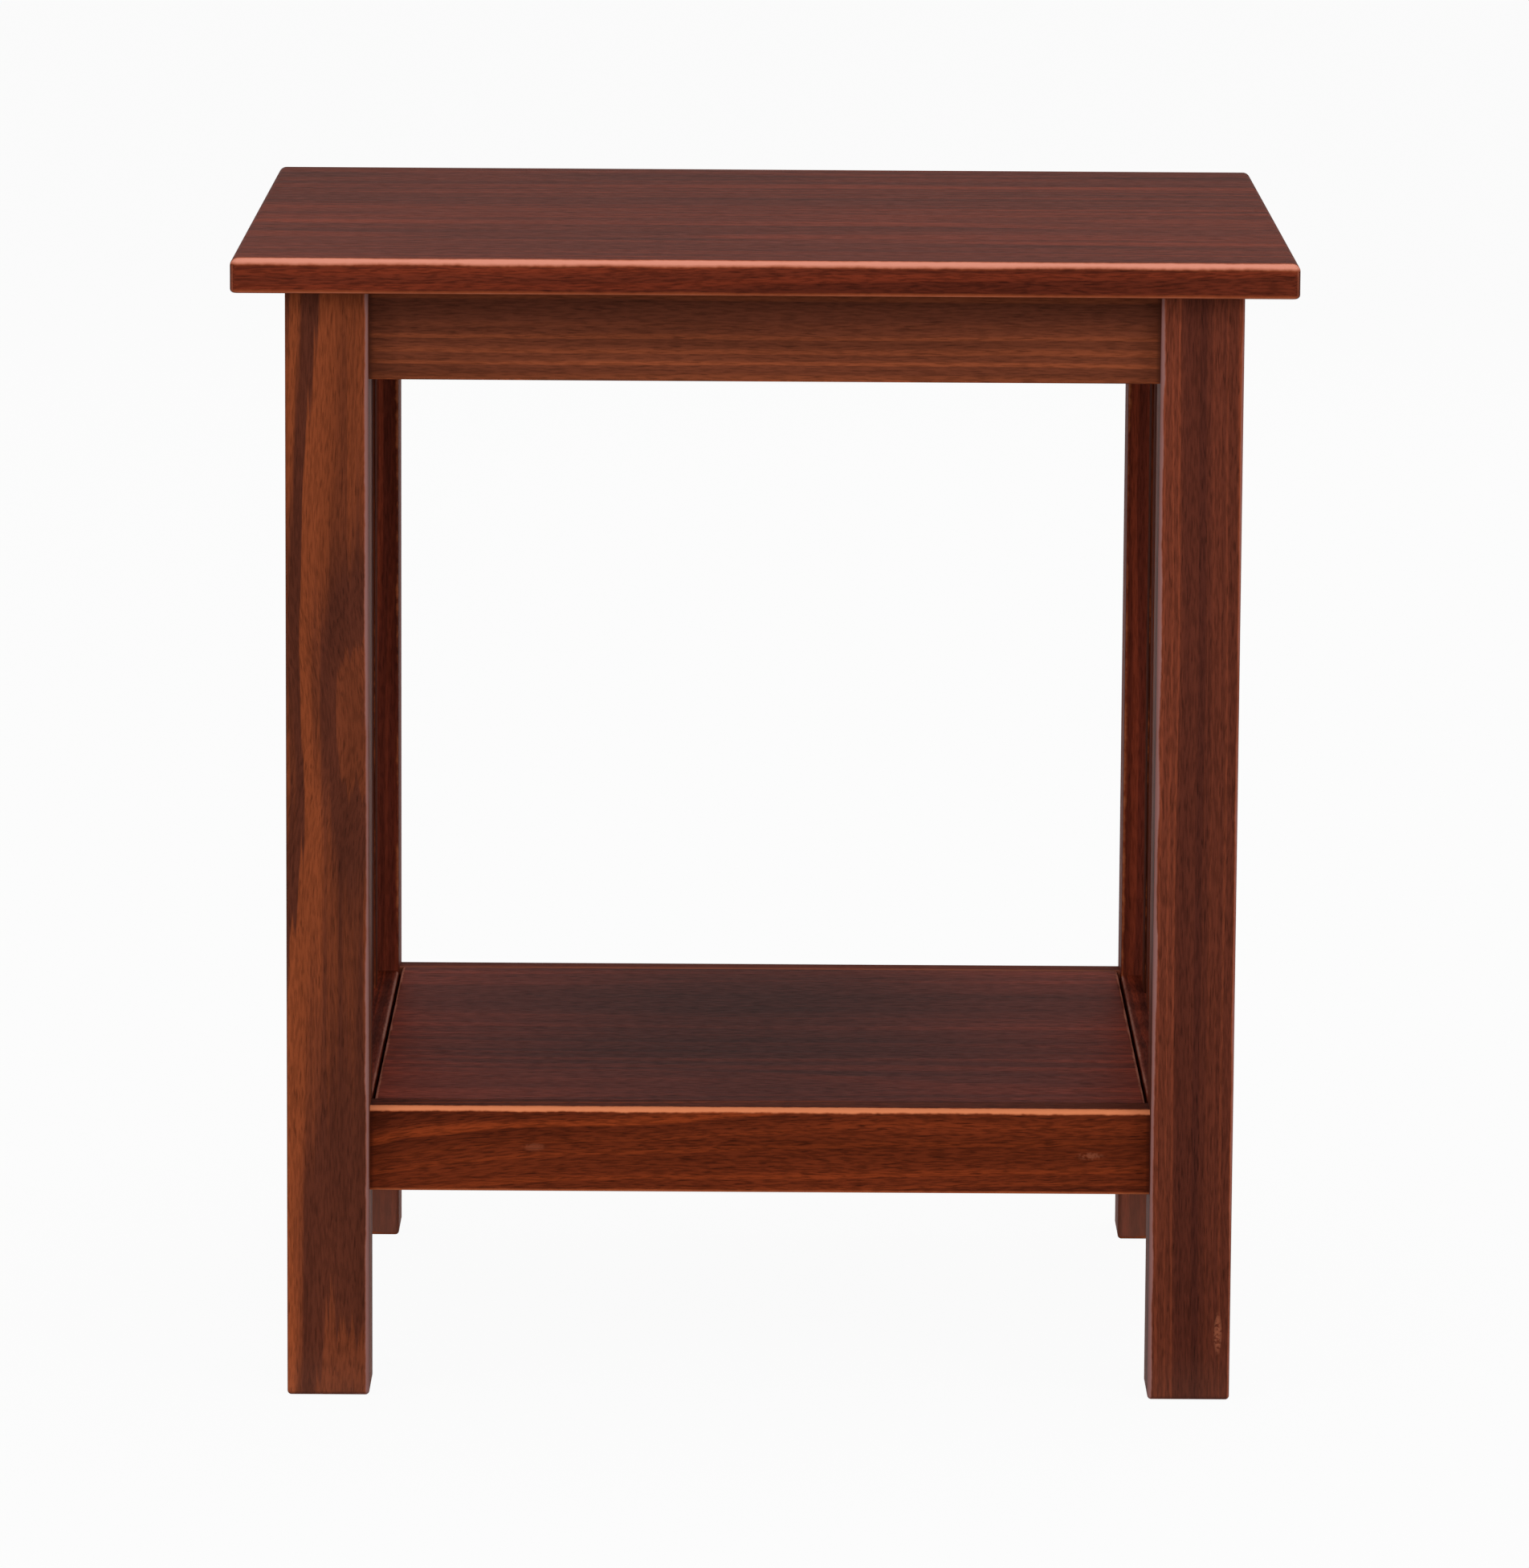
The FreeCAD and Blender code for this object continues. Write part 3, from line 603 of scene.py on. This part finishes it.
KIND_FIGURES = {
    # The top's pinkish bare wood is rubbed wood with a painted sheen on it, where its front edge catches the light.
    "top_board": {"soft": (73, 29, 17), "hard": (111, 43, 23), "contrast": 0.5, "uneven": 1.4, "fibres": 0.34,
                  "pores": 0.36, "rough": 0.55, "reach": (0.0040, 0.0008, 0.0018), "low_share": (1.0, 1.0, 0.54),
                  "patchy": 0.1, "ragged": 0.3, "softness": 0.0015, "bare_share": 0.85, "bare_wood": (196, 127, 107)},
    # Painted light: the shelf is lighter towards both ends, and more at the right one, where light falls on it past
    # the sides.
    "shelf_board": {"soft": (74, 28, 19), "hard": (118, 45, 28), "contrast": 0.42, "uneven": 0.85, "fibres": 0.4,
                    "pores": 0.45, "tips": 37.0, "fade": 0.6, "tone": 0.86, "rough": 0.55, "reach": (0.0, 0.0018, 0.0),
                    "low_share": (1.0, 1.0, 0.0), "patchy": 0.3, "ragged": 0.8, "bare_share": 0.9,
                    "bare_wood": (200, 130, 110)},
    "shelf_rail": {"reach": (0.0031, 0.0, 0.0), "patchy": 0.1, "ragged": 0.45, "bare_share": 0.9,
                   "bare_wood": (205, 122, 82)},
    "apron": {"reach": (0.0010, 0.0, 0.0), "high_share": (1.0, 1.0, 0.0)},
    "lower_side_rail": {"soft": (82, 31, 20), "hard": (128, 50, 29), "reach": (0.0, 0.0016, 0.0), "patchy": 0.4,
                        "ragged": 0.8, "bare_share": 0.9, "bare_wood": (150, 106, 94)},
    "slat": {"reach": (0.0, 0.0, 0.0009), "rough": 0.95},
    # The front legs' greyish pink bare colour is partly wear and partly a painted highlight on their rounded edges;
    # the pale film at their feet is painted sheen.
    "leg_front": {"reach": (0.0012, 0.0012, 0.0024), "patchy": 0.3, "ragged": 0.35, "bare_share": 1.0,
                  "bare_wood": (134, 94, 89), "foot_sheen": (0.03, 0.06), "fade": 0.6},
    # Painted light: the rear legs' stain is lighter than the others' for light that reaches them under the top, and
    # the pale film at their feet is painted sheen and light.
    "leg_rear": {"soft": (90, 37, 26), "hard": (138, 58, 36), "foot_sheen": (0.08, 0.36), "patchy": 0.6,
                 "reach": (0.0034, 0.0034, 0.0018), "bare_share": 0.6},
}
OWN_FIGURES = {
    # Painted light and shade along each front leg: the left one is lighter lower down, the right one darker lower
    # down.
    "leg_front_left": {"heart": (0.012, 0.02), "lean": (0.0, 0.02), "ring": 0.0075, "swell": (-0.010, 0.006),
                       "swell_at": 0.062, "swell_length": 0.055, "wander": 0.018, "streak": 0.005, "seed": 77.8,
                       "soft": (64, 31, 23), "hard": (134, 65, 34), "contrast": 0.66, "bands": 0.25, "uneven": 0.9,
                       "fibres": 0.2, "pores": 0.32, "tone": 1.02, "fade": -0.5, "tips": 0.7,
                       "low_share": (0.3, 1.0, 1.0), "high_share": (0.95, 0.4, 1.0)},
    "leg_front_right": {"heart": (-0.10, 0.03), "ring": 0.0042, "early": 0.66, "wander": 0.003, "streak": 0.0008,
                        "seed": 12.0, "soft": (60, 27, 21), "hard": (122, 58, 37), "contrast": 0.42, "bands": 0.45,
                        "uneven": 0.7, "fibres": 0.24, "pores": 0.36, "tone": 0.99, "fade": 0.45,
                        "high_share": (0.75, 0.4, 1.0),
                        "scuffs": (((0.0140, -0.02, -0.2380), (0.0024, 0.004, 0.0125), 0.7),)},
    # Painted shade: the front apron is darker towards its upper edge, where the top's overhang shades it.
    "apron_front": {"heart": (0.01, 0.07), "ring": 0.008, "early": 0.6, "wander": 0.006, "streak": 0.0022,
                    "seed": 63.0, "soft": (74, 37, 25), "hard": (132, 66, 38), "contrast": 0.42, "bands": 0.3,
                    "pale": 0.0, "fibres": 0.2, "pores": 0.3, "slope": -3.0, "fade": 0.25},
    # Painted shade: the front shelf rail is darker towards its left end.
    "shelf_rail_front": {"heart": (0.03, 0.045), "ring": 0.0068, "early": 0.66, "sweep": 0.8, "sweep_from": -0.09,
                         "wander": 0.012, "seed": 12.0, "soft": (58, 20, 10), "hard": (130, 53, 22),
                         "contrast": 0.65, "fibres": 0.35, "pores": 0.5, "tone": 0.95, "fade": 0.5,
                         "low_share": (1.0, 1.0, 0.5), "high_share": (1.0, 0.0, 1.0),
                         "scuffs": (((-0.110, -0.009, 0.001), (0.007, 0.004, 0.0025), 0.25),
                                    ((0.161, -0.009, -0.002), (0.008, 0.004, 0.0025), 0.4))},
    "shelf_rail_rear": {"soft": (86, 34, 20), "hard": (138, 57, 31), "reach": (0.0045, 0.0, 0.0),
                        "low_share": (1.0, 1.0, 0.2), "high_share": (1.0, 0.4, 1.0), "bare_wood": (136, 74, 54)},
}
print("kinds with values:", len(KIND_FIGURES), "and boards with their own:", len(OWN_FIGURES))

# %% [markdown]
# A maker picks boards from a stack, so the rest is left to chance: where the heart of the log lay, how it
# leaned, how thick its years were and how dark the stain turned out. The generator is seeded with the board's
# number, so the same table comes out each time. Boards of the top and the shelf come from the outside of a log,
# with its heart below them, as wide boards do.

# %% Boards drawn and stained
HEART_AWAY, LEANS, RINGS, TONES = (0.03, 0.1), (-0.012, 0.012), (0.0028, 0.0046), (0.94, 1.06)
PANEL_HEART, PANEL_HEART_BELOW, PANEL_RING = (-0.05, 0.05), -0.14, 0.0052
SEED_STEP = 7.0


def draw_figure(label, number):
    """A board's figure: its own values where it has some, those of its kind, and a seeded draw for the rest."""
    chance = random.Random(number)
    figure = dict(PLAIN_FIGURE)
    figure["heart"] = [chance.choice((-1, 1)) * chance.uniform(*HEART_AWAY) for _ in range(2)]
    figure["lean"] = [chance.uniform(*LEANS) for _ in range(2)]
    figure["ring"] = chance.uniform(*RINGS)
    figure["tone"] = chance.uniform(*TONES)
    figure["seed"] = number * SEED_STEP
    if label in TOP + SHELF:
        figure["heart"] = (chance.uniform(*PANEL_HEART), PANEL_HEART_BELOW)
        figure["ring"] = PANEL_RING
    for kind, values in KIND_FIGURES.items():
        if label.startswith(kind):
            figure.update(values)
    figure.update(OWN_FIGURES.get(label, {}))
    return figure


def panel_of(label):
    """The boards that are glued edge to edge with a board."""
    return next((panel for panel in (TOP, SHELF) if label in panel), [label])


for number, (label, along) in enumerate(sorted(ALONG.items()), start=1):
    dress(label, stained_board(label, along, panel_of(label), draw_figure(label, number)))
print("stained", len(ALONG), "boards")

# %% [markdown]
# Dowels of pale beech hold the frame and the glued seams. They are out of sight, but whoever takes the part
# to pieces meets them, so they get the same growth rings at a much smaller size, with no stain. Their
# grain runs along them, across the joint that they close.

# %% Dowels
DOWEL_PALE, DOWEL_DARK = srgb(222, 190, 148), srgb(192, 152, 108)
DOWEL_LOG = {"Heart": (0.3, 0.2, 0.0), "Ring": 0.0013, "Early": 0.6, "Swell_Length": 0.1, "Wander": 0.002,
             "Streak": 0.0004}
DOWEL_LINES, DOWEL_PORES = 0.7, 0.5
DOWEL_ROUGH, DOWEL_FIBRE_GLOSS, DOWEL_RELIEF = 0.8, -0.15, 0.3


def beech(label, along, number):
    """The material of a set of dowels."""
    material, tree, shader = new_material(label)
    board = mapping(tree, on_piece(tree), NO_SHIFT, TURNS[along].to_euler())
    rings = use_group(tree, rings_group, Board=board, Seed=number * SEED_STEP, **DOWEL_LOG)
    colour = blend(tree, maths(tree, "MULTIPLY", rings["Line"], DOWEL_LINES), DOWEL_PALE, DOWEL_DARK)
    colour = blend(tree, maths(tree, "MULTIPLY", rings["Pore"], DOWEL_PORES), colour, DOWEL_DARK)
    feed(tree, colour, shader.inputs["Base Color"])
    rough = maths(tree, "MULTIPLY_ADD", rings["Fibre"], DOWEL_FIBRE_GLOSS, DOWEL_ROUGH)
    feed(tree, rough, shader.inputs["Roughness"])
    relief(tree, shader, rings["Fibre"], DOWEL_RELIEF)
    return material


dowel_sets = sorted(label for label in nodes if label.endswith("_dowels"))
for number, label in enumerate(dowel_sets, start=1):
    along = "x" if label.startswith(("apron", "shelf_rail")) else "y"
    dress(label, beech(label, along, number))
print("left", len(dowel_sets), "sets of dowels bare")

# %% [markdown]
# Four cleats are screwed on from inside and below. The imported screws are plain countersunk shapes, so new ones
# take their place in the same holes, with a softened rim, a tapered cross recess and a point. The recess is
# cut out of the flat head: four pairs of cuts divide the disc, and the cells that form the cross are pushed in.
# A boolean would do it too, but it leaves long thin faces behind.

# %% The shape of a screw
SCREW_THICK, SCREW_HEAD, SCREW_HEAD_DEEP, SCREW_GRIP = 0.004, 0.008, 0.0022, 0.011
SCREW_TIP, SCREW_TIP_SHARE = 0.004, 0.15
SCREW_SIDES, SCREW_RIM, SCREW_RIM_STEPS = 24, 0.0002, 2
CROSS_ARM, CROSS_REACH, CROSS_DEEP, CROSS_TAPER = 0.0006, 0.0021, 0.0016, 0.6
TOUCHING, LEVEL = 1e-7, 1e-6
TRIAL_LENGTH = 0.03


def finished_mesh(name, shape):
    """A shape written to a new mesh."""
    mesh = bpy.data.meshes.new(name)
    shape.to_mesh(mesh)
    shape.free()
    return mesh


def flat_end(shape, height):
    """The face that closes a round shape at a height."""
    return min(shape.faces, key=lambda face: abs(face.calc_center_median().z - height) - face.calc_area())


def cut_cross(shape, cap):
    """Press a tapered cross into the flat of a head."""
    cells = [cap]
    for axis in (Vector((1, 0, 0)), Vector((0, 1, 0))):
        for offset in (-CROSS_REACH, -CROSS_ARM, CROSS_ARM, CROSS_REACH):
            edges = {edge for cell in cells for edge in cell.edges}
            corners = {corner for cell in cells for corner in cell.verts}
            cut = bmesh.ops.bisect_plane(shape, geom=[*cells, *edges, *corners], dist=TOUCHING,
                                         plane_co=axis * offset, plane_no=axis)
            cells = [part for part in cut["geom"] if isinstance(part, bmesh.types.BMFace)]
    arms = []
    for cell in cells:
        across, along = sorted(abs(value) for value in cell.calc_center_median().xy)
        if across < CROSS_ARM and along < CROSS_REACH:
            arms.append(cell)
    pushed = bmesh.ops.extrude_face_region(shape, geom=arms)["geom"]
    corners = [part for part in pushed if isinstance(part, bmesh.types.BMVert)]
    bmesh.ops.translate(shape, verts=corners, vec=(0.0, 0.0, CROSS_DEEP))
    bmesh.ops.scale(shape, verts=corners, vec=(CROSS_TAPER, CROSS_TAPER, 1.0))


def draw_out(shape, end, run, narrow):
    """Pull a round end further along and narrow it; gives the new end."""
    pulled = bmesh.ops.extrude_face_region(shape, geom=[end])["geom"]
    corners = [part for part in pulled if isinstance(part, bmesh.types.BMVert)]
    bmesh.ops.translate(shape, verts=corners, vec=(0.0, 0.0, run))
    bmesh.ops.scale(shape, verts=corners, vec=(narrow, narrow, 1.0))
    return next(part for part in pulled if isinstance(part, bmesh.types.BMFace))


def screw_mesh(length):
    """A screw that starts at the origin and points up."""
    shape = bmesh.new()
    bmesh.ops.create_cone(shape, cap_ends=True, segments=SCREW_SIDES, radius1=SCREW_HEAD / 2,
                          radius2=SCREW_THICK / 2, depth=SCREW_HEAD_DEEP,
                          matrix=Matrix.Translation((0.0, 0.0, SCREW_HEAD_DEEP / 2)))
    end = draw_out(shape, flat_end(shape, SCREW_HEAD_DEEP), length - SCREW_HEAD_DEEP - SCREW_TIP, 1.0)
    draw_out(shape, end, SCREW_TIP, SCREW_TIP_SHARE)
    rim = [edge for edge in shape.edges if max(corner.co.z for corner in edge.verts) < LEVEL]
    bmesh.ops.bevel(shape, geom=rim, offset=SCREW_RIM, affect="EDGES", segments=SCREW_RIM_STEPS, profile=0.5,
                    material=-1)
    cut_cross(shape, flat_end(shape, 0.0))
    bmesh.ops.recalc_face_normals(shape, faces=shape.faces)
    return finished_mesh("screw", shape)


trial = screw_mesh(TRIAL_LENGTH)
print("one screw has", len(trial.polygons), "faces")
bpy.data.meshes.remove(trial)

# %% [markdown]
# Bright zinc is grey metal with a mottled skin of tiny crystals, rougher where it is dull. The screws stand in
# rows on the face of each cleat that they go in from. A row of three ends 26 mm from the cleat's ends, and a row
# of two stands in its gaps, so their places follow from the boxes of the cleats. The print compares each new set
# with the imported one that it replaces.

# %% Zinc screws in their places
SCREW_END = 0.026
SHARP = math.radians(30)
CRYSTALS_PER_METRE, CRYSTAL_EDGES = 900.0, (0.35, 0.65)
ZINC_DULL, ZINC_BRIGHT = srgb(176, 174, 166), srgb(206, 205, 200)
ZINC_ROUGH, ZINC_SMOOTH = 0.46, 0.3
ZINC_RELIEF, ZINC_RELIEF_DEEP = 0.15, 0.00005


def zinc():
    """Mottled grey metal."""
    material, tree, shader = new_material("zinc")
    mottle = smooth(tree, noise(tree, on_piece(tree), CRYSTALS_PER_METRE, 4.0), *CRYSTAL_EDGES)
    feed(tree, blend(tree, mottle, ZINC_DULL, ZINC_BRIGHT), shader.inputs["Base Color"])
    feed(tree, smooth(tree, mottle, 0.0, 1.0, ZINC_ROUGH, ZINC_SMOOTH), shader.inputs["Roughness"])
    shader.inputs["Metallic"].default_value = 1.0
    relief(tree, shader, mottle, ZINC_RELIEF, ZINC_RELIEF_DEEP)
    return material


def screw_row(cleat, way, shares):
    """Places and length of a row of screws that go through a cleat in one direction."""
    low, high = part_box(cleat)
    size = high - low
    way = Vector(way)
    through = abs(size.dot(way))
    along = Vector((1, 0, 0)) if size.x > size.y else Vector((0, 1, 0))
    start = (low + high - way * through) / 2
    turn = Vector((0, 0, 1)).rotation_difference(way).to_matrix().to_4x4()
    half = size.dot(along) / 2 - SCREW_END
    return [Matrix.Translation(start + along * half * share) @ turn for share in shares], through + SCREW_GRIP


def screw_set(label, packed, rows, finish):
    """All the screws of a set as one piece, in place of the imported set."""
    shape = bmesh.new()
    for places, length in rows:
        for place in places:
            mesh = screw_mesh(length)
            mesh.transform(place)
            shape.from_mesh(mesh)
            bpy.data.meshes.remove(mesh)
    mesh = finished_mesh(label, shape)
    mesh.shade_smooth()
    mesh.set_sharp_from_angle(angle=SHARP)
    mesh.materials.append(finish)
    piece = bpy.data.objects.new(label, mesh)
    scene.collection.objects.link(piece)
    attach(piece, "root")
    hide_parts(packed)
    off = 0.0
    for axis, (low, high) in enumerate(zip(*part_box(packed))):
        reach = [corner.co[axis] for corner in mesh.vertices]
        off = max(off, abs(min(reach) - low), abs(max(reach) - high))
    print(label, "differs from the packed set by at most", round(off * 1000, 3), "mm")


finish = zinc()
THREE, TWO = (-1.0, 0.0, 1.0), (-0.5, 0.5)
UP, OUTWARDS = (0, 0, 1), {"front": (0, -1, 0), "rear": (0, 1, 0), "left": (-1, 0, 0), "right": (1, 0, 0)}
screw_set("screws_into_top", "top_screws", [screw_row(f"top_cleat_{end}", UP, THREE) for end in ENDS], finish)
screw_set("screws_into_aprons", "apron_screws",
          [screw_row(f"top_cleat_{end}", OUTWARDS[end], TWO) for end in ENDS], finish)
screw_set("screws_into_shelf", "shelf_screws",
          [screw_row(f"shelf_cleat_{side}", UP, TWO) for side in SIDES], finish)
screw_set("screws_into_side_rails", "side_rail_screws",
          [screw_row(f"shelf_cleat_{side}", OUTWARDS[side], THREE) for side in SIDES], finish)

# %% [markdown]
# The photograph's ground is pure white. A white world behind the table would give that, but no shadow, so the
# table stands on a pale disc that runs out of sight. It shows mostly white to the camera and to reflections,
# and keeps a little of its own shading for the table's shadow. Seen from below it lets light through, so that
# the underside can be looked at.

# %% Floor
FLOOR_RADIUS, FLOOR_SIDES, FLOOR_BELOW = 40.0, 64, 0.0003
FLOOR_WHITE, FLOOR_ROUGH = 0.95, 0.9
FLOOR_COLOUR = (0.45, 0.45, 0.45, 1.0)

shape = bmesh.new()
bmesh.ops.create_circle(shape, cap_ends=True, radius=FLOOR_RADIUS, segments=FLOOR_SIDES)
bmesh.ops.translate(shape, verts=shape.verts, vec=(0.0, 0.0, -FLOOR_BELOW))
floor_mesh = finished_mesh("floor", shape)
floor = bpy.data.objects.new("floor", floor_mesh)
scene.collection.objects.link(floor)


def looked_at(tree, share):
    """A share on rays that come from the camera, a reflection or through glass, and nought on others."""
    path = tree.nodes.new("ShaderNodeLightPath").outputs
    seen = maths(tree, "MAXIMUM", path["Is Camera Ray"], path["Is Glossy Ray"])
    seen = maths(tree, "MAXIMUM", seen, path["Is Transmission Ray"])
    return maths(tree, "MULTIPLY", seen, share)


def pale_floor():
    """White to look at, with part of its shading kept."""
    material, tree, shader = new_material("pale floor")
    shader.inputs["Base Color"].default_value = FLOOR_COLOUR
    shader.inputs["Roughness"].default_value = FLOOR_ROUGH
    shader.inputs["Specular IOR Level"].default_value = 0.0
    glow = tree.nodes.new("ShaderNodeEmission")
    mixed = tree.nodes.new("ShaderNodeMixShader")
    feed(tree, looked_at(tree, FLOOR_WHITE), mixed.inputs[0])
    feed(tree, shader.outputs[0], mixed.inputs[1])
    feed(tree, glow.outputs[0], mixed.inputs[2])
    under = tree.nodes.new("ShaderNodeMixShader")
    feed(tree, tree.nodes.new("ShaderNodeNewGeometry").outputs["Backfacing"], under.inputs[0])
    feed(tree, mixed.outputs[0], under.inputs[1])
    feed(tree, tree.nodes.new("ShaderNodeBsdfTransparent").outputs[0], under.inputs[2])
    feed(tree, under.outputs[0], tree.nodes["Material Output"].inputs["Surface"])
    return material


floor_mesh.materials.append(pale_floor())
print("floor of", FLOOR_RADIUS, "m radius")

# %% [markdown]
# The light is that of a studio: soft and even from all round, with five large lamps in front, at both sides,
# overhead and behind. Large lamps keep the shadows soft. The one behind lights the rear but stays out of
# reflections, where it would lie as a grey veil on the top.

# %% Light
ROOM_COLOUR, ROOM_LIGHT = (1.0, 1.0, 1.0, 1.0), 0.5
TABLE_MIDDLE = (0.0, 0.0, 0.35)

world = bpy.data.worlds.new("room")
world.use_nodes = True
room = world.node_tree.nodes["Background"]
room.inputs["Color"].default_value = ROOM_COLOUR
room.inputs["Strength"].default_value = ROOM_LIGHT
scene.world = world


def soft_lamp(name, place, size, power, shine=True):
    """A large square lamp that faces the table; without shine it lights, but doesn't show in reflections."""
    lamp = bpy.data.lights.new(name, "AREA")
    lamp.size = size
    lamp.energy = power
    stand = bpy.data.objects.new(name, lamp)
    scene.collection.objects.link(stand)
    stand.location = place
    stand.rotation_euler = (Vector(TABLE_MIDDLE) - Vector(place)).to_track_quat("-Z", "Y").to_euler()
    stand.visible_glossy = shine


soft_lamp("front lamp", (-0.2, -4.2, 1.6), size=3.0, power=54.0)
soft_lamp("left lamp", (-3.0, -2.8, 1.4), size=1.8, power=45.0)
soft_lamp("right lamp", (3.0, -2.8, 1.4), size=1.8, power=45.0)
soft_lamp("overhead lamp", (0.3, 0.2, 3.2), size=2.2, power=42.0)
soft_lamp("rear lamp", (0.8, 3.6, 2.2), size=2.4, power=30.0, shine=False)
